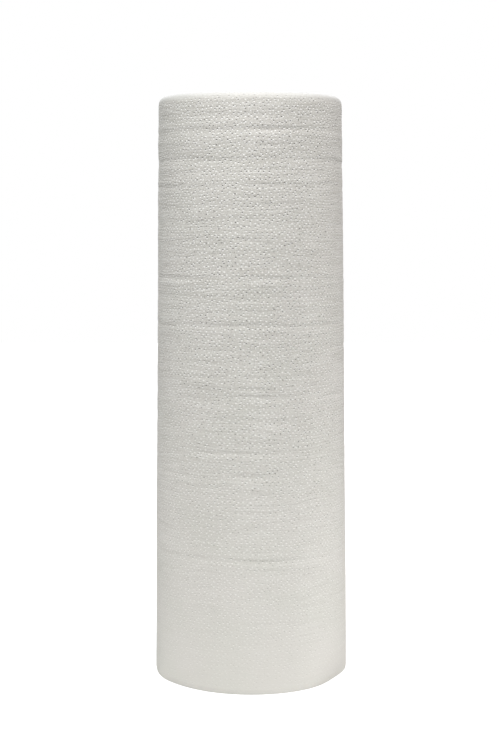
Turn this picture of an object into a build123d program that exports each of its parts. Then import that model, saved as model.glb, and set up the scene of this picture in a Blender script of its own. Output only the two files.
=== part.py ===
"""Roll of embossed paper for an examination table, standing on its wider end.

Millimetres, +Z up along the roll's axis, origin at the centre of the base.
The paper web with all its turns is one solid, and the cardboard core tube is another.
"""

import os
from math import cos, pi, sin

from build123d import *

# Paper roll: a log that narrows towards its upper end, where the soft web has buckled most
roll_length = 500.0
base_diameter = 170.0
top_diameter = 160.0

# Upper rim, rounded where the outer turns have slipped down, and the cut edge round the base
rim_radius = 7.0
rim_slips = 4
base_edge = 1.0

# Loose end of the last turn: its step over the turn below, and where round the roll it lies
tail_step = 0.6
tail_azimuth = 64.0

# Creases that the web has buckled into, all the way round, from the base up.
# Each has its height as a share of the roll's length, its width and its depth.
creases = (
    (0.230, 8.0, 0.5),
    (0.362, 7.0, 0.3),
    (0.506, 7.0, 0.4),
    (0.622, 8.0, 0.7),
    (0.700, 8.0, 0.7),
    (0.782, 6.0, 0.4),
    (0.854, 6.0, 0.5),
    (0.899, 8.0, 0.9),
    (0.948, 9.0, 0.9),
)

# Turns as they show on both end faces: one spiral groove that runs from the core outwards
turn_pitch = 7.5
turn_groove_width = 1.6
turn_groove_depth = 0.6
turn_margin = 3.0

# Cardboard core tube that the web is wound on, cut flush with the paper
core_bore = 38.0
core_wall = 2.0

core_diameter = core_bore + 2 * core_wall
tool_overshoot = 0.5


def stretch_radii():
    """Radius of each straight stretch between creases, narrowing with the height of its middle."""
    ends = [0, *(share * roll_length for share, width, depth in creases), roll_length]
    middles = [(low + high) / 2 for low, high in zip(ends, ends[1:])]
    taper = (top_diameter - base_diameter) / (middles[-1] - middles[0])
    return [(base_diameter + taper * (middle - middles[0])) / 2 for middle in middles]


def side_points():
    """Points up the side of the roll's section: base edge, creases and slipped rim."""
    radii = stretch_radii()
    points = [(radii[0] - base_edge, 0), (radii[0], base_edge)]
    for (share, width, depth), below, above in zip(creases, radii, radii[1:]):
        height = share * roll_length
        points.append((below, height - width / 2))
        points.append((min(below, above) - depth, height))
        points.append((above, height + width / 2))
    for slip in range(rim_slips + 1):
        angle = pi / 2 * slip / rim_slips
        drop = rim_radius * (1 - sin(angle))
        points.append((radii[-1] - rim_radius * (1 - cos(angle)), roll_length - drop))
    return points


def half_turn_of_paper(extra):
    """Solid over +Y that the roll's section sweeps in half a turn, with its side moved out by extra."""
    side = [(radius + extra, height) for radius, height in side_points()]
    section = make_face(Polyline((0, 0), *side, (0, roll_length), close=True))
    return revolve(Plane.XZ * section, Axis.Z, revolution_arc=180)


def wound_log():
    """Roll whose side is a turn of a spiral: two half turns about centres half a step apart."""
    offset = tail_step / 2
    return half_turn_of_paper(0) + Pos(offset, 0) * Rot(0, 0, 180) * half_turn_of_paper(offset)


def groove_half_ring(radius, face_height, inward):
    """Half a V groove of one radius, over +Y, that opens at an end face."""
    spread = 1 + tool_overshoot / turn_groove_depth
    half_mouth = turn_groove_width / 2 * spread
    mouth_height = face_height - inward * tool_overshoot
    tip = (radius, face_height + inward * turn_groove_depth)
    mouth = ((radius + half_mouth, mouth_height), (radius - half_mouth, mouth_height))
    return revolve(Plane.XZ * make_face(Polyline(tip, *mouth, close=True)), Axis.Z, revolution_arc=180)


def turn_grooves(face_height, inward, outer_radius):
    """Spiral groove as half rings about two centres, each turn one pitch outside the last."""
    first = core_diameter / 2 + turn_margin
    turns = int((outer_radius - turn_margin - first) // turn_pitch)
    shift = turn_pitch / 2
    halves = []
    for turn in range(turns):
        radius = first + turn * turn_pitch
        halves.append(groove_half_ring(radius, face_height, inward))
        outer_half = groove_half_ring(radius + shift, face_height, inward)
        halves.append(Pos(shift, 0) * Rot(0, 0, 180) * outer_half)
    return halves


def paper_roll():
    """All the turns of paper as one solid, with the bore that the core fills."""
    radii = stretch_radii()
    roll = wound_log()
    roll -= turn_grooves(roll_length, -1, radii[-1] - rim_radius)
    roll -= turn_grooves(0, 1, radii[0] - base_edge)
    roll -= Cylinder(core_diameter / 2, roll_length, align=(Align.CENTER, Align.CENTER, Align.MIN))
    return Rot(0, 0, tail_azimuth) * roll


def core_tube():
    """Plain cardboard tube as long as the roll."""
    section = Circle(core_diameter / 2) - Circle(core_bore / 2)
    return extrude(section, roll_length)


os.makedirs("parts", exist_ok=True)
export_step(paper_roll(), "parts/paper_roll.step")
export_step(core_tube(), "parts/core_tube.step")
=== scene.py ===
import math

import bpy
import numpy as np
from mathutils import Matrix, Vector


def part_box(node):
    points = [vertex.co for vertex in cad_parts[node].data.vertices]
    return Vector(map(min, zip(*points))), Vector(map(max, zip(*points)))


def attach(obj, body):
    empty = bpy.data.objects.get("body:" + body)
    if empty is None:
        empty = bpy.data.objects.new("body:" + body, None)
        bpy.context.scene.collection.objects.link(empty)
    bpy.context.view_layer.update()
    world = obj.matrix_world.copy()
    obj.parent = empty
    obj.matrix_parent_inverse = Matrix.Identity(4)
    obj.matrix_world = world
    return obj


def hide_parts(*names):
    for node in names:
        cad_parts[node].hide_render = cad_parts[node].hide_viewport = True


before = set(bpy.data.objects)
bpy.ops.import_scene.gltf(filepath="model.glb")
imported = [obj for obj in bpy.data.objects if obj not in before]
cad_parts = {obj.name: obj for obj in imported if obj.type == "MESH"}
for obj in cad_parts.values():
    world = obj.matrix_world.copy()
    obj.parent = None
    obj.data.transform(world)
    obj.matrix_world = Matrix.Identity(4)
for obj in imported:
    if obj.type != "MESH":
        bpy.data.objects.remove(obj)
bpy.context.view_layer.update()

# Roll of embossed paper on its core, standing on its wider end. Lengths are in metres unless a comment
# says otherwise. The front is the side that faces -Y, and an azimuth from the front grows towards +X.

# Sizes from the frame
ROLL_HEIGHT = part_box("paper_roll")[1].z
CORE_LOW, CORE_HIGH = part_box("core_tube")
CORE_RADIUS = (CORE_HIGH.x - CORE_LOW.x) / 2

# Outer turns of paper: radii without the relief, and the shares of the web's width that bend over
# at the rim and at the base edge
BASE_RADIUS = 0.0846
TOP_RADIUS = 0.0785
RIM_SHARE = 0.027
BASE_SHARE = 0.0012
PROFILE_STEPS = 4001
OUTER_TURNS_DEPTH = 0.0125
SHOULDER_RADIUS = TOP_RADIUS - OUTER_TURNS_DEPTH
SHARP_DEGREES = 50

# The front of the rim hangs lower, and so do the turns below and within it, less with their distance
RIM_DIP = 0.0024
RIM_DIP_REACH = 0.025
SLUMP_REACH = 0.020

# The roll leans a little to the side, because it is soft
LEAN_AT_BASE = 0.0004
LEAN_AT_TOP = -0.0006

# Where the base edge is squashed: azimuth from the front, half width (degrees) and outward amount (mm)
BASE_SQUASH = ((62, 17, -3.2), (-62, 13, 1.2))
BASE_SQUASH_REACH = 0.016

# Tail: the loose end of the web, on the side away from the camera. It stands off in the product of two
# waves up the roll, each with its angle over the roll's height and its phase (radians).
TAIL_AZIMUTH = math.radians(64)
TAIL_LOOSE = math.radians(16)
TAIL_GROWTH = 0.0005
TAIL_LIFT = 0.0014
TAIL_WAVE_SHARE = 0.35
TAIL_WAVES = ((9.0, 0.6), (4.1, 1.0))
UNDER_TAIL_COLUMNS = 3
TAIL_INSIDE_COLUMNS = 6
SHEET_THICKNESS = 0.00035

# Embossing: dots in a diamond lattice, counted in periods round the roll and up the web.
# A dot's half width, half height, drop and rise are in periods, and its scatter and loss are shares.
PERIODS_ROUND = 111
PERIODS_UP = 108
ROWS_PER_PERIOD = 4
COLUMNS_PER_PERIOD = 2
WEB_COLUMNS = PERIODS_ROUND * COLUMNS_PER_PERIOD
PLAIN_PERIODS = 14
EMBOSS_FADE_PERIODS = 8
EMBOSS_DEPTH = 0.00010
DOT_HALF_WIDTH = 0.145
DOT_HALF_HEIGHT = 0.105
DOT_DEPTH = 0.0013
DOT_SCATTER = 0.65
DOT_LOSS = 0.35

# Each dot has a wider painted highlight below its middle and painted shade above it, both with soft edges,
# for the lit lower wall and the shadowed upper wall of its dent
DOT_HIGHLIGHT_DROP = 0.12
HIGHLIGHT_SPREAD = 1.2
HIGHLIGHT_EDGE = 0.11
DOT_SHADE_RISE = 0.05
SHADE_EDGE = 0.62
SHADE_STRENGTH = 0.95

# The relief is full near the top, fades towards the base, and is rubbed off the rim
RELIEF_LOSS = 0.94
RELIEF_POWER = 1.9
RIM_RELIEF = 0.1
RIM_RELIEF_REACH = 0.012
RIM_TONE_REACH = 0.009

# Wrinkles in the mesh: their height, and their blur in cells up the web and round it
WRINKLE_SEED = 11
FINE_WRINKLE = 0.000038
FINE_BLUR = (0.8, 14.0)
BROAD_WRINKLE = 0.00007
BROAD_BLUR = (1.8, 45.0)
SWELL = 0.00011
SWELL_BLUR = (34.0, 16.0)

# Grain in the material: noise with its scale per period round the web and up it. Its rows sag by up to
# SAG periods in slow waves. The flecks and streaks are painted shade and light for the fine crepe. Streaks
# count for a share of what the flecks do, and the two together make the tone fully dark or light where they
# are FLOW_SPAN from their middle.
SAG = 4.0
SAG_SCALE = (0.05, 0.07, 1.0)
FIBRE_DEPTH = 0.00030
FIBRE_SCALE = (1.6, 5.0, 1.0)
CREPE_DEPTH = 0.00028
CREPE_SCALE = (0.2, 3.0, 1.0)
FLECK_SCALE = (4.2, 6.5, 1.0)
STREAK_SCALE = (0.10, 4.5, 1.0)
STREAK_SHARE = 0.5
FLOW_SPAN = 0.25

# Creases have a steep upper wall and a shallow lower one, in half widths, and a low ridge beyond each wall
CREASE_UPPER_WALL = 0.75
CREASE_LOWER_WALL = 1.3
CREASE_RIDGE = 0.3
CREASE_RIDGE_AWAY = 2.0

# Creases: height, azimuth from the front, half length (degrees), depth and half width (mm).
# A half length of 0 goes all the way round.
CREASES = (
    (480.3, -10, 22, 0.320, 1.8),
    (468.6, 0, 0, 0.240, 1.8),
    (468.6, 16, 46, 0.448, 1.9),
    (455.0, 5, 16, 0.192, 1.4),
    (444.4, 60, 40, 0.160, 1.4),
    (444.4, -65, 25, 0.128, 1.4),
    (423.4, 14, 13, 0.256, 1.3),
    (423.4, 65, 40, 0.240, 1.8),
    (423.4, -65, 30, 0.192, 1.8),
    (412.8, 1, 9, 0.320, 1.5),
    (407.0, 16, 14, 0.256, 1.4),
    (396.5, -7, 9, 0.320, 1.6),
    (378.8, -5, 7, 0.416, 1.5),
    (368.6, 10, 8, 0.192, 1.3),
    (347.6, 0, 0, 0.288, 1.6),
    (346.8, 20, 15, 0.160, 1.5),
    (339.3, -28, 7, 0.320, 1.3),
    (307.9, 0, 0, 0.352, 2.0),
    (307.9, 5, 20, 0.160, 1.8),
    (266.4, 17, 20, 0.320, 1.6),
    (265.0, -28, 8, 0.320, 1.5),
    (255.7, -25, 22, 0.224, 1.5),
    (255.7, 4, 8, 0.224, 1.4),
    (249.1, 20, 50, 0.320, 1.8),
    (201.8, -15, 50, 0.256, 1.8),
    (184.3, -2, 14, 0.320, 2.6),
    (181.0, -40, 30, 0.256, 1.8),
    (153.6, 35, 45, 0.192, 2.0),
    (137.9, -5, 8, 0.128, 2.0),
    (112.4, 6, 48, 0.272, 1.9),
    (112.4, 0, 0, 0.128, 1.9),
    (79.6, -5, 35, 0.080, 2.4),
    (57.1, 20, 35, 0.128, 2.4),
)

# Ledges: creases all the way round whose lower wall runs out slowly, so that they show as a dark line.
# Each has its height, its depth, and the width of its upper and lower wall (mm).
LEDGES = (
    (444.6, 0.62, 1.2, 9.0),
    (368.0, 0.12, 1.1, 7.0),
    (231.0, 0.16, 1.2, 8.0),
    (205.0, 0.12, 1.2, 8.0),
)

# Creases and ledges wander up and down in waves, each with its count round the roll and its height (mm),
# and lose up to twice the fade share of their depth in further waves round the roll
CREASE_WANDER = ((3, 0.8), (7, 0.5), (17, 0.12))
CREASE_FADE_WAVES = 5
LEDGE_WANDER = ((3, 0.7), (7, 0.4))
LEDGE_FADE_WAVES = 4
FADE_SHARE = 0.25

# Ends of the inner turns: a ridge for each bundle of turns, which has slipped in by a random step
TURN_BUNDLE = 0.0016
RINGS_PER_BUNDLE = 4
END_COLUMNS = 220
END_SEED = 5
END_RIDGE = 0.00018
END_STEP = 0.00022
DEEP_BUNDLES = 3
END_SWAY = 0.3
END_SWAY_BLUR = (3.0, 12.0)

# Cut edges in the material: lines and bands by the distance from the axis, and fluff, scaled per metre
LINE_SCALE = 2600.0
LINE_DEPTH = 0.00012
LINE_SHARE = 0.6
BAND_SCALE = 300.0
FLUFF_SCALE = 900.0
FLUFF_DEPTH = 0.00008

# Cardboard: its spiral seam, whose half width is a share of a turn, its plies and its fibres, scaled
# per metre
SEAM_TURNS_PER_METRE = 11.0
SEAM_HALF_WIDTH = 0.012
SEAM_STRENGTH = 0.55
SEAM_DEPTH = 0.0002
PLY_SCALE = 2200.0
BOARD_DEPTH = 0.00012
BOARD_FIBRE_SCALE = (260.0, 260.0, 900.0)
BOARD_FIBRE_SHARE = 0.6

# Soft clouds of tone all over the paper, scaled per metre
CLOUD_SCALE = (14.0, 14.0, 22.0)

# Colours as they show, 0 to 255, and the spans of noise over which one tone goes over into another
PAPER_TONES = ((213, 211, 204), (216, 213, 207))
# The two flow tones are painted shade and light for the fine crepe
DARK_FLOW_TONE = (184, 181, 174)
LIGHT_FLOW_TONE = (240, 239, 235)
# Painted shade above each dot and a painted highlight below it, for the walls of its dent
SHADE_TONE = (100, 96, 90)
HIGHLIGHT_TONE = (255, 254, 251)
RIM_TONE = (208, 208, 206)
EDGE_TONES = ((178, 175, 168), (214, 212, 206))
BOARD_TONES = ((146, 122, 92), (190, 166, 132))
SEAM_TONE = (96, 78, 58)
NOISE_SPAN = (0.35, 0.65)
BOARD_SPAN = (0.3, 0.7)

# Paper is smoother where a dot is pressed into it, fully so at this share of a dot's depth
PAPER_ROUGHNESS = 0.8
PRESSED_ROUGHNESS = 0.4
PRESSED_DEPTH = 0.5
SHADER = "Principled BSDF"

# Floor: it lies a hair below the roll, so that no two faces are in one plane. The light that it gives back
# falls from the first value to the second between two distances from the roll's axis. To the camera it
# glows, and a grey part that is added to the glow takes the roll's shadow.
FLOOR_HALF = 4.0
FLOOR_GAP = 0.0002
FLOOR_DISTANCES = (0.25, 0.9)
FLOOR_VALUES = (0.6, 0.1)
FLOOR_GLOW = 0.82
FLOOR_SHADED = (0.35, 0.35, 0.35, 1)
WHITE = (1, 1, 1, 1)

# Camera, with its lens and sensor in mm
CAMERA_PLACE = (-0.0011, -1.2174, 0.3760)
CAMERA_TILT = math.radians(5.41)
CAMERA_LENS = 66.93
CAMERA_SENSOR = 36
CAMERA_CLIP = 0.01

# Light: a plain dome, broad lamps far off, and small discs of light close by, before the roll and behind
# its rim. A far lamp has its azimuth from the front and its rise, both in degrees, its strength and its
# colour. A fill has its place, the point that it faces, its power, its width and its colour.
DOME = 0.198
FAR_LAMP_SPREAD = math.radians(12)
FAR_LAMPS = (
    ("overhead_front", 0, 55, 0.78, (1.0, 1.0, 1.0)),
    ("overhead_left", -70, 55, 1.72, (0.98, 1.0, 1.0)),
    ("overhead_right", 70, 55, 0.58, (1.0, 0.96, 0.94)),
    ("back", 180, 25, 0.20, (0.70, 0.78, 1.0)),
    ("side_right", 90, 40, 0.58, (1.0, 0.94, 0.98)),
    ("low_side_right", 115, 20, 0.40, (1.0, 0.96, 0.92)),
)
FILLS = (
    ("upper_fill", (0.0, -0.45, 0.72), (0, 0, 0.45), 0.93, 0.2, (1.0, 1.0, 1.0)),
    ("low_front_fill", (0.0, -0.45, 0.04), (0, 0, 0.03), 0.11, 0.2, (1.0, 1.0, 1.0)),
    ("low_right_fill", (0.38, -0.32, 0.04), (0, 0, 0.03), 0.51, 0.2, (0.93, 1.0, 0.99)),
    ("low_left_fill", (-0.38, -0.32, 0.04), (0, 0, 0.03), 0.08, 0.2, (1.0, 1.0, 1.0)),
    ("rim_left_fill", (-0.155, 0.23, 0.61), (-0.08, 0, 0.5), 0.30, 0.1, (0.9, 0.95, 1.0)),
    ("rim_right_fill", (0.155, 0.23, 0.61), (0.08, 0, 0.5), 0.22, 0.1, (0.9, 0.95, 1.0)),
)


def smoothstep(t):
    """Soft step from 0 to 1 while t goes from 0 to 1."""
    t = np.clip(t, 0, 1)
    return t * t * (3 - 2 * t)


def filtered_noise(rng, shape, sigma):
    """Noise of unit spread that repeats at its edges, blurred by sigma cells down and across."""
    noise = rng.standard_normal(shape)
    down = np.fft.fftfreq(shape[0])[:, None]
    across = np.fft.fftfreq(shape[1])[None, :]
    blur = np.exp(-2 * math.pi ** 2 * ((sigma[0] * down) ** 2 + (sigma[1] * across) ** 2))
    noise = np.fft.ifft2(np.fft.fft2(noise) * blur).real
    return noise / noise.std()


def from_front(azimuth):
    """Degrees from the front for an azimuth in radians from +X."""
    return np.degrees(azimuth) + 90


def degrees_apart(angle, centre):
    """Angle past the centre the short way round, from -180 to 180 degrees."""
    return (angle - centre + 180) % 360 - 180


def facing_front(azimuth):
    """1 at the front, falling to 0 at the sides and behind."""
    return np.clip(-np.sin(azimuth), 0, 1) ** 2


def make_piece(name, points, faces):
    """A smooth mesh object with sharp edges only where its surface turns by more than SHARP_DEGREES."""
    mesh = bpy.data.meshes.new(name)
    mesh.from_pydata(points.tolist(), [], faces)
    mesh.shade_smooth()
    mesh.set_sharp_from_angle(angle=math.radians(SHARP_DEGREES))
    piece = bpy.data.objects.new(name, mesh)
    bpy.context.scene.collection.objects.link(piece)
    return piece


# Outer turns


def web_rows():
    """Row numbers up the web, in quarters of a period, coarser near the base where the web is plain."""
    fine_from = PLAIN_PERIODS * ROWS_PER_PERIOD
    return np.array([*range(0, fine_from, 2), *range(fine_from, PERIODS_UP * ROWS_PER_PERIOD + 1)])


def web_profile(rows):
    """Inset from the side, height, and the outward direction's radial and upward parts at each row."""
    along = np.linspace(0, 1, PROFILE_STEPS)
    base_turn = np.clip(1 - along / BASE_SHARE, 0, 1) * math.pi / 2
    rim_turn = smoothstep((along - 1) / RIM_SHARE + 1) * math.pi / 2
    out, up = np.cos(base_turn) * np.cos(rim_turn), np.sin(rim_turn) - np.sin(base_turn)
    height = np.concatenate([[0], np.cumsum(out[:-1] + out[1:])])
    scale = ROLL_HEIGHT / height[-1]
    inset = scale * np.concatenate([[0], np.cumsum(up[:-1] + up[1:])])
    inset -= inset.min()
    return [np.interp(rows / rows[-1], along, values) for values in (inset, height * scale, out, up)]


def web_columns():
    """Per column, the angle past the root of the gap under the tail, and whether it is the tail's inside.
    The third value is the angle between two columns."""
    step = 2 * math.pi / WEB_COLUMNS
    under_tail = np.linspace(0, TAIL_LOOSE, UNDER_TAIL_COLUMNS, endpoint=False)
    shown = TAIL_LOOSE + step * np.arange(WEB_COLUMNS + 1)
    tail_inside = np.linspace(2 * math.pi + TAIL_LOOSE, 2 * math.pi, TAIL_INSIDE_COLUMNS)
    angle = np.concatenate([under_tail, shown, tail_inside])
    inside = np.arange(len(angle)) >= len(under_tail) + len(shown)
    return angle, inside, step


def wander_and_fade(turn, wander_waves, fade_waves, rng):
    """How far a crease wanders up (mm), and the share of its depth that it has, at each column."""
    phase = rng.uniform(0, 2 * math.pi, len(wander_waves) + 1)
    wander = sum(height * np.sin(count * turn + shift) for (count, height), shift in zip(wander_waves, phase))
    fade = 1 - FADE_SHARE + FADE_SHARE * np.sin(fade_waves * turn + phase[-1])
    return wander, fade


def crease_depth(height_mm, front, rng):
    """Depth of all the creases and ledges at each row and column, in metres."""
    depth = np.zeros((len(height_mm), len(front)))
    turn = np.radians(front)
    for height, centre, half_length, deep, half_width in CREASES:
        wander, fade = wander_and_fade(turn, CREASE_WANDER, CREASE_FADE_WAVES, rng)
        if half_length:
            fade *= np.exp(-((degrees_apart(front, centre) / half_length) ** 4))
        t = (height_mm[:, None] - height - wander[None, :]) / half_width
        t = np.where(t > 0, t / CREASE_UPPER_WALL, t / CREASE_LOWER_WALL)
        valley = np.exp(-(t ** 2)) - CREASE_RIDGE * np.exp(-((np.abs(t) - CREASE_RIDGE_AWAY) ** 2))
        depth += deep / 1000 * fade[None, :] * valley
    for height, deep, upper, lower in LEDGES:
        wander, fade = wander_and_fade(turn, LEDGE_WANDER, LEDGE_FADE_WAVES, rng)
        t = height_mm[:, None] - height - wander[None, :]
        t = np.where(t > 0, t / upper, t / lower)
        depth += deep / 1000 * fade[None, :] * np.exp(-(t ** 2))
    return depth


def web_relief(rows, height, step):
    """How far the web's surface stands out, at each row and each column of one turn, in metres."""
    rng = np.random.default_rng(WRINKLE_SEED)
    shape = (rows[-1] + 1, WEB_COLUMNS)
    blurs = (FINE_BLUR, BROAD_BLUR, SWELL_BLUR)
    fine, broad, swell = [filtered_noise(rng, shape, blur)[rows] for blur in blurs]
    strength = 1 - RELIEF_LOSS * (1 - height / ROLL_HEIGHT) ** RELIEF_POWER
    strength *= 1 - (1 - RIM_RELIEF) * smoothstep((height - ROLL_HEIGHT) / RIM_RELIEF_REACH + 1)
    strength = strength[:, None]
    relief = strength * (FINE_WRINKLE * fine + BROAD_WRINKLE * broad) + SWELL * swell
    columns = np.arange(WEB_COLUMNS)
    relief -= crease_depth(height * 1000, from_front(TAIL_AZIMUTH + step * columns), rng)
    up_phase = np.cos(2 * math.pi * rows / ROWS_PER_PERIOD)[:, None]
    round_phase = np.cos(2 * math.pi * columns / COLUMNS_PER_PERIOD)[None, :]
    sets_in = smoothstep((rows / ROWS_PER_PERIOD - PLAIN_PERIODS) / EMBOSS_FADE_PERIODS)[:, None]
    return relief - EMBOSS_DEPTH * strength * sets_in * np.clip(up_phase * round_phase, 0, 1)


def front_slump(radius, azimuth):
    """How far the turns within the rim have sunk at the front, with the rim."""
    return RIM_DIP * np.exp((radius - SHOULDER_RADIUS) / SLUMP_REACH) * facing_front(azimuth)


def lean(height):
    """How far the roll's middle lies to the side at a height."""
    return LEAN_AT_BASE + (LEAN_AT_TOP - LEAN_AT_BASE) * height / ROLL_HEIGHT


def base_squash(azimuth, height):
    """How far the edge on which the roll stands is pressed out or in."""
    squash = np.zeros_like(azimuth)
    for centre, half_width, amount in BASE_SQUASH:
        away = degrees_apart(from_front(azimuth), centre)
        squash = squash + amount / 1000 * np.exp(-((away / half_width) ** 2))
    return squash * np.exp(-height / BASE_SQUASH_REACH)[:, None]


def tail_lift(angle, height):
    """How far the loose tail stands off the turn below it."""
    share = smoothstep((angle - 2 * math.pi) / TAIL_LOOSE) ** 2
    along = height / ROLL_HEIGHT
    first, second = [np.sin(angle_over_height * along + phase) for angle_over_height, phase in TAIL_WAVES]
    wave = 1 - TAIL_WAVE_SHARE + TAIL_WAVE_SHARE * first * second
    return TAIL_LIFT * wave[:, None] * share[None, :]


def outer_points(rows, angle, inside, step):
    """Points of the web's surface, row by row."""
    inset, height, radial, up = web_profile(rows)
    column = np.round((angle - TAIL_LOOSE) / step).astype(int) % WEB_COLUMNS
    relief = web_relief(rows, height, step)[:, column] * radial[:, None]
    growth = TAIL_GROWTH * (angle - TAIL_LOOSE) / (2 * math.pi) - SHEET_THICKNESS * inside
    cone = BASE_RADIUS + (TOP_RADIUS - BASE_RADIUS) * height / ROLL_HEIGHT - inset
    azimuth = (TAIL_AZIMUTH - TAIL_LOOSE + angle)[None, :]
    radius = cone[:, None] + growth[None, :] + tail_lift(angle, height) + relief
    radius += base_squash(azimuth, height)
    dip = RIM_DIP * np.exp((height - ROLL_HEIGHT) / RIM_DIP_REACH)[:, None] * facing_front(azimuth)
    level = np.clip(height[:, None] - dip + relief * up[:, None], 0, ROLL_HEIGHT)
    across = radius * np.cos(azimuth) + lean(height)[:, None]
    return np.stack([across, radius * np.sin(azimuth), level], axis=2).reshape(-1, 3)


def side_faces(n_rows, n_cols):
    """Quads between neighbouring rows and columns, the last column joined to the first."""
    start = np.arange(n_rows - 1)[:, None] * n_cols
    left = np.arange(n_cols)[None, :]
    right = (left + 1) % n_cols
    quads = np.stack([start + left, start + right, start + n_cols + right, start + n_cols + left], axis=2)
    return quads.reshape(-1, 4).tolist()


def end_faces(first, ring, turn, n_cols):
    """Flat end between the web's outline, which starts at point first, and the ring inside it.
    The last face is the end of the tail's sheet."""
    faces = [(first + i, first + i + 1, ring + i + 1, ring + i) for i in range(turn - 1)]
    faces.append((first + turn - 1, first + turn, first + n_cols - 1, first, ring, ring + turn - 1))
    faces.append(tuple(range(first + turn, first + n_cols)))
    return faces


def outer_turns():
    """The outermost turns of the web, embossed and wrinkled, with the loose tail on the far side."""
    rows = web_rows()
    angle, inside, step = web_columns()
    points = outer_points(rows, angle, inside, step)
    n_rows, n_cols = len(rows), len(angle)
    turn = int(np.searchsorted(angle[~inside], 2 * math.pi - step / 2))
    azimuth = TAIL_AZIMUTH - TAIL_LOOSE + angle[:turn]
    across, along = SHOULDER_RADIUS * np.cos(azimuth), SHOULDER_RADIUS * np.sin(azimuth)
    low = np.column_stack([across + LEAN_AT_BASE, along, np.zeros(turn)])
    high = np.column_stack([across + LEAN_AT_TOP, along, ROLL_HEIGHT - front_slump(SHOULDER_RADIUS, azimuth)])
    first = len(points)
    faces = side_faces(n_rows, n_cols)
    faces += [face[::-1] for face in end_faces(0, first, turn, n_cols)]
    faces += end_faces((n_rows - 1) * n_cols, first + turn, turn, n_cols)
    for i in range(turn):
        k = (i + 1) % turn
        faces.append((first + i, first + turn + i, first + turn + k, first + k))
    piece = make_piece("outer_turns", np.vstack([points, low, high]), faces)
    map_web(piece, n_rows, angle, step, rows)
    return piece


def map_web(piece, n_rows, angle, step, rows):
    """Coordinates on the web, in periods of the embossing, for the paper's material."""
    u = np.tile((angle - TAIL_LOOSE) / step / COLUMNS_PER_PERIOD, n_rows)
    v = np.repeat(rows / ROWS_PER_PERIOD, len(angle))
    spare = np.zeros(len(piece.data.vertices) - len(u))
    place = np.column_stack([np.append(u, spare), np.append(v, spare)])
    corner = np.zeros(len(piece.data.loops), dtype=np.int32)
    piece.data.loops.foreach_get("vertex_index", corner)
    layer = piece.data.uv_layers.new(name="web")
    layer.data.foreach_set("uv", place[corner].astype(np.float32).ravel())


# Inner turns


def end_relief(rng, radius, azimuth):
    """How far the edges of the turns lie inside the end's plane, at each ring and column."""
    bundle = (radius - CORE_RADIUS) / TURN_BUNDLE
    ridge = END_RIDGE * (0.5 - 0.5 * np.cos(2 * math.pi * bundle))
    count = int(bundle[-1]) + 2
    slip = END_STEP * np.abs(rng.standard_normal(count))
    slip[rng.integers(0, count, DEEP_BUNDLES)] += END_STEP * 2
    step = slip[np.round(bundle - 0.5).astype(int).clip(0)]
    sway = END_SWAY * filtered_noise(rng, (len(radius), len(azimuth)), END_SWAY_BLUR)
    return (END_RIDGE - ridge)[:, None] + step[:, None] * (1 + sway)


def inner_turns():
    """The turns between the core and the outer turns, with their edges as rings on both ends."""
    rng = np.random.default_rng(END_SEED)
    count = int(round((SHOULDER_RADIUS - CORE_RADIUS) / TURN_BUNDLE)) * RINGS_PER_BUNDLE
    radius = np.linspace(CORE_RADIUS, SHOULDER_RADIUS, count + 1)
    azimuth = np.arange(END_COLUMNS) * 2 * math.pi / END_COLUMNS
    low = end_relief(rng, radius, azimuth)
    high = ROLL_HEIGHT - end_relief(rng, radius, azimuth)
    high -= front_slump(radius[:, None], azimuth[None, :])
    level = np.vstack([low, high[::-1]])
    reach = np.concatenate([radius, radius[::-1]])[:, None]
    share = (reach - CORE_RADIUS) / (SHOULDER_RADIUS - CORE_RADIUS)
    across = reach * np.cos(azimuth) + lean(level) * share
    points = np.stack([across, reach * np.sin(azimuth), level], axis=2).reshape(-1, 3)
    n_rings = len(level)
    faces = side_faces(n_rings, END_COLUMNS)
    closing = (n_rings - 1) * END_COLUMNS
    for i in range(END_COLUMNS):
        k = (i + 1) % END_COLUMNS
        faces.append((closing + i, closing + k, k, i))
    return make_piece("inner_turns", points, faces)


# Materials


def linear(colour):
    """A colour given as it shows, 0 to 255, in the linear values that sockets hold."""
    shares = [part / 255 for part in colour]
    return (*(c / 12.92 if c <= 0.04045 else ((c + 0.055) / 1.055) ** 2.4 for c in shares), 1.0)


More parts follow.
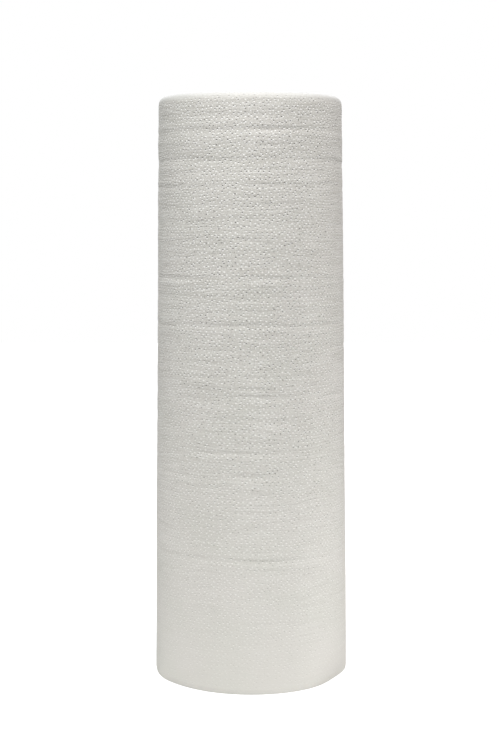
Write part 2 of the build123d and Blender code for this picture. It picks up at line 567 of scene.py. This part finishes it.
class Graph:
    """Short ways to add nodes to one tree."""

    def __init__(self, tree):
        self.tree = tree

    def add(self, kind, values=(), **settings):
        """A node with its settings, and its inputs by number or name: each a constant or an output."""
        node = self.tree.nodes.new("ShaderNode" + kind)
        for key, value in settings.items():
            setattr(node, key, value)
        for key, value in dict(values).items():
            if isinstance(value, bpy.types.NodeSocket):
                self.tree.links.new(value, node.inputs[key])
            else:
                node.inputs[key].default_value = value
        return node

    def link(self, socket, name, entry):
        """Feed an output into an input of the node of that name."""
        self.tree.links.new(socket, self.tree.nodes[name].inputs[entry])

    def math(self, operation, *values):
        return self.add("Math", enumerate(values), operation=operation).outputs[0]

    def chain(self, operation, first, *others):
        """Values joined one after the other by the same operation."""
        for other in others:
            first = self.math(operation, first, other)
        return first

    def total(self, *values):
        return self.chain("ADD", *values)

    def product(self, *values):
        return self.chain("MULTIPLY", *values)

    def minus(self, first, second):
        return self.math("SUBTRACT", first, second)

    def over(self, first, second):
        return self.math("DIVIDE", first, second)

    def at_least_0(self, value):
        return self.math("MAXIMUM", value, 0.0)

    def parts(self, vector):
        """The X, Y and Z outputs of a vector."""
        return self.add("SeparateXYZ", {0: vector}).outputs

    def flat(self, x, y):
        """Vector of x and y, with a Z of 0."""
        return self.add("CombineXYZ", {0: x, 1: y, 2: 0.0}).outputs[0]

    def length(self, vector):
        return self.add("VectorMath", {0: vector}, operation="LENGTH").outputs["Value"]

    def bowl(self, across, along):
        """Rounded dent, 1 deep at its middle and 1 across from there to its edge."""
        square = self.total(self.product(across, across), self.product(along, along))
        return self.at_least_0(self.minus(1.0, square))

    def remap(self, value, low, high, to_low, to_high, smooth=True):
        kind = "SMOOTHSTEP" if smooth else "LINEAR"
        values = {"Value": value, "From Min": low, "From Max": high, "To Min": to_low, "To Max": to_high}
        return self.add("MapRange", values, interpolation_type=kind).outputs["Result"]

    def noise(self, vector, scale, detail=2.0, roughness=0.5):
        values = {"Vector": vector, "Scale": scale, "Detail": detail, "Roughness": roughness}
        return self.add("TexNoise", values).outputs["Fac"]

    def stretched_noise(self, vector, scale, detail, roughness=0.5):
        """Noise with a scale of its own along each axis."""
        stretched = self.add("Mapping", {"Vector": vector, "Scale": scale}).outputs["Vector"]
        return self.noise(stretched, 1.0, detail, roughness)

    def line_noise(self, along, scale, detail):
        """Noise along one number."""
        values = {"W": along, "Scale": scale, "Detail": detail}
        return self.add("TexNoise", values, noise_dimensions="1D").outputs["Fac"]

    def mix(self, share, first, second):
        """Colour between two, by the share of the second. Inputs 6 and 7 and output 2 are the colours."""
        return self.add("Mix", {0: share, 6: first, 7: second}, data_type="RGBA").outputs[2]

    def between(self, value, span, tones):
        """Colour that goes from the first tone to the second as the value crosses the span."""
        first, second = [linear(tone) for tone in tones]
        return self.mix(self.remap(value, *span, 0.0, 1.0), first, second)


class Surface(Graph):
    """The nodes of a material, with the constants of its shader."""

    def __init__(self, name, roughness, specular):
        self.material = bpy.data.materials.new(name)
        self.material.use_nodes = True
        super().__init__(self.material.node_tree)
        shader = self.tree.nodes[SHADER]
        shader.inputs["Roughness"].default_value = roughness
        shader.inputs["Specular IOR Level"].default_value = specular

    def bump(self, height):
        """Bump from a height in metres."""
        node = self.add("Bump", {"Height": height, "Distance": 1.0, "Strength": 1.0})
        self.link(node.outputs["Normal"], SHADER, "Normal")

    def colour(self, socket):
        self.link(socket, SHADER, "Base Color")


def relief_strength(g, height):
    """How strong the relief is at a height, by the same rule as in the mesh."""
    below_top = g.remap(height, 0.0, ROLL_HEIGHT, 1.0, 0.0, smooth=False)
    strength = g.minus(1.0, g.product(g.math("POWER", below_top, RELIEF_POWER), RELIEF_LOSS))
    left_on_rim = g.remap(height, ROLL_HEIGHT - RIM_RELIEF_REACH, ROLL_HEIGHT, 1.0, RIM_RELIEF)
    return g.product(strength, left_on_rim)


def emboss_dots(g, u, v, strength):
    """Dent, painted highlight and painted shade of the embossed dots, each 0 away from them and up to 1 on
    them.
    """
    diamond = g.flat(g.total(u, v), g.minus(u, v))
    values = {"Vector": diamond, "Scale": 1.0, "Randomness": DOT_SCATTER}
    dots = g.add("TexVoronoi", values, voronoi_dimensions="2D").outputs
    press_chance, highlight_chance, _ = g.parts(dots["Color"])
    away = g.add("VectorMath", {0: diamond, 1: dots["Position"]}, operation="SUBTRACT").outputs[0]
    x, y, _ = g.parts(away)
    across = g.over(g.total(x, y), 2 * DOT_HALF_WIDTH)
    along = g.over(g.minus(x, y), 2 * DOT_HALF_HEIGHT)
    missing = g.product(g.minus(1.0, strength), DOT_LOSS)
    pressed = g.at_least_0(g.minus(press_chance, missing))
    highlighted = g.at_least_0(g.minus(highlight_chance, missing))
    dent = g.product(g.bowl(across, along), pressed, strength)

    # Painted highlight below the middle of each dot, where its lower wall faces the light
    highlight_along = g.over(g.total(along, DOT_HIGHLIGHT_DROP / DOT_HALF_HEIGHT), HIGHLIGHT_SPREAD)
    highlight = g.product(g.bowl(g.over(across, HIGHLIGHT_SPREAD), highlight_along), highlighted)
    highlight = g.product(g.remap(highlight, 0.0, HIGHLIGHT_EDGE, 0.0, 1.0), strength)

    # Painted shade above the middle of each dot, where its upper wall is in shadow
    shade = g.product(g.bowl(across, g.minus(along, DOT_SHADE_RISE / DOT_HALF_HEIGHT)), pressed)
    shade = g.product(g.remap(shade, 0.0, SHADE_EDGE, 0.0, SHADE_STRENGTH), strength)
    return dent, highlight, shade


def sagging_web(g, web, u, v):
    """Place on the web with rows that sag in slow waves."""
    sag = g.product(g.stretched_noise(web, SAG_SCALE, detail=1.0), SAG)
    return g.flat(u, g.total(v, sag))


def grain_height(g, sagged):
    """Height of the paper's fibres and of its crepe, which runs round the web."""
    fibre = g.minus(g.stretched_noise(sagged, FIBRE_SCALE, detail=3.0, roughness=0.65), 0.5)
    crepe = g.minus(g.stretched_noise(sagged, CREPE_SCALE, detail=2.0), 0.5)
    return g.total(g.product(fibre, FIBRE_DEPTH), g.product(crepe, CREPE_DEPTH))


def flowing_tone(g, place, sagged, strength):
    """Off-white in soft clouds, with flecks and streaks of painted shade and light for the fine crepe."""
    tone = g.between(g.stretched_noise(place, CLOUD_SCALE, detail=3.0), NOISE_SPAN, PAPER_TONES)
    # Flecks and streaks paint the shade and light of the fine crepe, which is too fine for the bump to show
    fleck_shading = g.minus(g.stretched_noise(sagged, FLECK_SCALE, detail=1.0), 0.5)
    streak_shading = g.minus(g.stretched_noise(sagged, STREAK_SCALE, detail=1.0), 0.5)
    flow = g.product(g.total(fleck_shading, g.product(streak_shading, STREAK_SHARE)), strength)
    for span, colour in ((-FLOW_SPAN, DARK_FLOW_TONE), (FLOW_SPAN, LIGHT_FLOW_TONE)):
        tone = g.mix(g.remap(flow, 0.0, span, 0.0, 1.0, smooth=False), tone, linear(colour))
    return tone


def embossed_paper():
    """Off-white paper with sharp small dots in a diamond lattice, fading towards the base."""
    g = Surface("embossed_paper", roughness=PAPER_ROUGHNESS, specular=0.1)
    web = g.add("UVMap", uv_map="web").outputs["UV"]
    place = g.add("TexCoord").outputs["Object"]
    u, v, _ = g.parts(web)
    height = g.parts(place)["Z"]
    strength = relief_strength(g, height)
    dent, highlight, shade = emboss_dots(g, u, v, strength)
    sagged = sagging_web(g, web, u, v)
    g.bump(g.minus(g.product(grain_height(g, sagged), strength), g.product(dent, DOT_DEPTH)))
    g.link(g.remap(dent, 0.0, PRESSED_DEPTH, PAPER_ROUGHNESS, PRESSED_ROUGHNESS), SHADER, "Roughness")
    tone = flowing_tone(g, place, sagged, strength)
    # Painted shade and painted highlight of the dots
    tone = g.mix(shade, tone, linear(SHADE_TONE))
    tone = g.mix(highlight, tone, linear(HIGHLIGHT_TONE))
    on_rim = g.remap(height, ROLL_HEIGHT - RIM_TONE_REACH, ROLL_HEIGHT, 0.0, 1.0)
    g.colour(g.mix(on_rim, tone, linear(RIM_TONE)))
    return g.material


def paper_edges():
    """Cut edges of many turns, as fine lighter and darker rings."""
    g = Surface("paper_edges", roughness=0.85, specular=0.2)
    place = g.add("TexCoord").outputs["Object"]
    x, y, _ = g.parts(place)
    reach = g.length(g.flat(x, y))
    line = g.line_noise(reach, LINE_SCALE, detail=2.0)
    band = g.line_noise(reach, BAND_SCALE, detail=2.0)
    fluff = g.noise(place, FLUFF_SCALE)
    g.bump(g.total(g.product(line, LINE_DEPTH), g.product(fluff, FLUFF_DEPTH)))
    shade = g.total(g.product(line, LINE_SHARE), g.product(band, 1 - LINE_SHARE))
    g.colour(g.between(shade, NOISE_SPAN, EDGE_TONES))
    return g.material


def cardboard():
    """Brown board wound in a spiral, with its seam as a dark line and its plies on the cut ends."""
    g = Surface("cardboard", roughness=0.85, specular=0.2)
    place = g.add("TexCoord").outputs["Object"]
    x, y, z = g.parts(place)
    turn = g.over(g.math("ARCTAN2", y, x), 2 * math.pi)
    wound = g.math("FRACT", g.total(turn, g.product(z, SEAM_TURNS_PER_METRE)))
    seam = g.remap(g.math("ABSOLUTE", g.minus(wound, 0.5)), 0.0, SEAM_HALF_WIDTH, 1.0, 0.0)
    ply = g.line_noise(g.length(g.flat(x, y)), PLY_SCALE, detail=1.0)
    fibre = g.stretched_noise(place, BOARD_FIBRE_SCALE, detail=4.0, roughness=0.7)
    shade = g.total(g.product(fibre, BOARD_FIBRE_SHARE), g.product(ply, 1 - BOARD_FIBRE_SHARE))
    board = g.between(shade, BOARD_SPAN, BOARD_TONES)
    g.colour(g.mix(g.product(seam, SEAM_STRENGTH), board, linear(SEAM_TONE)))
    g.bump(g.minus(g.product(shade, BOARD_DEPTH), g.product(seam, SEAM_DEPTH)))
    return g.material


# Stage


def glow_to_camera(g, shown, plain):
    """Shader that is shown to the camera and through mirrors and glass, and plain to every other ray."""
    paths = g.add("LightPath").outputs
    seen = g.chain("MAXIMUM", paths["Is Camera Ray"], paths["Is Glossy Ray"], paths["Is Transmission Ray"])
    return g.add("MixShader", {0: seen, 1: plain, 2: shown}).outputs[0]


def build_world():
    """White to the camera, and a plain soft light to all other rays."""
    world = bpy.data.worlds.new("studio")
    bpy.context.scene.world = world
    world.use_nodes = True
    g = Graph(world.node_tree)
    plain = g.tree.nodes["Background"]
    plain.inputs["Color"].default_value = WHITE
    plain.inputs["Strength"].default_value = DOME
    white = g.add("Background", {"Color": WHITE, "Strength": 1.0})
    g.link(glow_to_camera(g, white.outputs[0], plain.outputs[0]), "World Output", "Surface")


def build_floor():
    """Pale floor that the camera sees as white, with the roll's soft shadow on it."""
    corners = ((-1, -1), (1, -1), (1, 1), (-1, 1))
    points = np.array([(FLOOR_HALF * x, FLOOR_HALF * y, -FLOOR_GAP) for x, y in corners])
    floor = make_piece("floor", points, [(0, 1, 2, 3)])
    material = bpy.data.materials.new("pale_floor")
    material.use_nodes = True
    g = Graph(material.node_tree)
    g.tree.nodes.remove(g.tree.nodes[SHADER])
    away = g.length(g.add("TexCoord").outputs["Object"])
    plain = g.add("BsdfDiffuse", {"Color": g.remap(away, *FLOOR_DISTANCES, *FLOOR_VALUES)})
    glow = g.add("Emission", {"Color": WHITE, "Strength": FLOOR_GLOW})
    shaded = g.add("BsdfDiffuse", {"Color": FLOOR_SHADED})
    shown = g.add("AddShader", {0: glow.outputs[0], 1: shaded.outputs[0]})
    g.link(glow_to_camera(g, shown.outputs[0], plain.outputs[0]), "Material Output", "Surface")
    floor.data.materials.append(material)


def add_lamp(name, kind, place, aim, energy, colour):
    """The light of a lamp at place that points at aim and that the camera doesn't see."""
    light = bpy.data.lights.new(name, kind)
    light.energy = energy
    light.color = colour
    lamp = bpy.data.objects.new(name, light)
    lamp.location = place
    lamp.rotation_euler = (Vector(aim) - Vector(place)).to_track_quat("-Z", "Y").to_euler()
    lamp.visible_camera = False
    bpy.context.scene.collection.objects.link(lamp)
    return light


def build_lights():
    """The far lamps as suns round the roll, and the fills as discs of light."""
    for name, azimuth, rise, energy, colour in FAR_LAMPS:
        turn, lift = math.radians(azimuth), math.radians(rise)
        place = (math.sin(turn) * math.cos(lift), -math.cos(turn) * math.cos(lift), math.sin(lift))
        light = add_lamp(name, "SUN", place, (0, 0, 0), energy, colour)
        light.angle = FAR_LAMP_SPREAD
    for name, place, aim, power, width, colour in FILLS:
        light = add_lamp(name, "AREA", place, aim, power, colour)
        light.shape = "DISK"
        light.size = width


def build_camera():
    """The camera at the photograph's viewing angle."""
    camera = bpy.data.cameras.new("camera")
    camera.lens = CAMERA_LENS
    camera.sensor_width = CAMERA_SENSOR
    camera.clip_start = CAMERA_CLIP
    view = bpy.data.objects.new("camera", camera)
    view.location = CAMERA_PLACE
    view.rotation_euler = (math.pi / 2 - CAMERA_TILT, 0, 0)
    bpy.context.scene.collection.objects.link(view)
    bpy.context.scene.camera = view
    bpy.context.scene.view_settings.view_transform = "Standard"


build_camera()
build_world()
build_lights()
build_floor()

outer = outer_turns()
outer.data.materials.append(embossed_paper())
inner = inner_turns()
inner.data.materials.append(paper_edges())
for piece in (outer, inner):
    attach(piece, "root")
    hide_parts("paper_roll")

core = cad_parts["core_tube"]
core.data.materials.clear()
core.data.materials.append(cardboard())
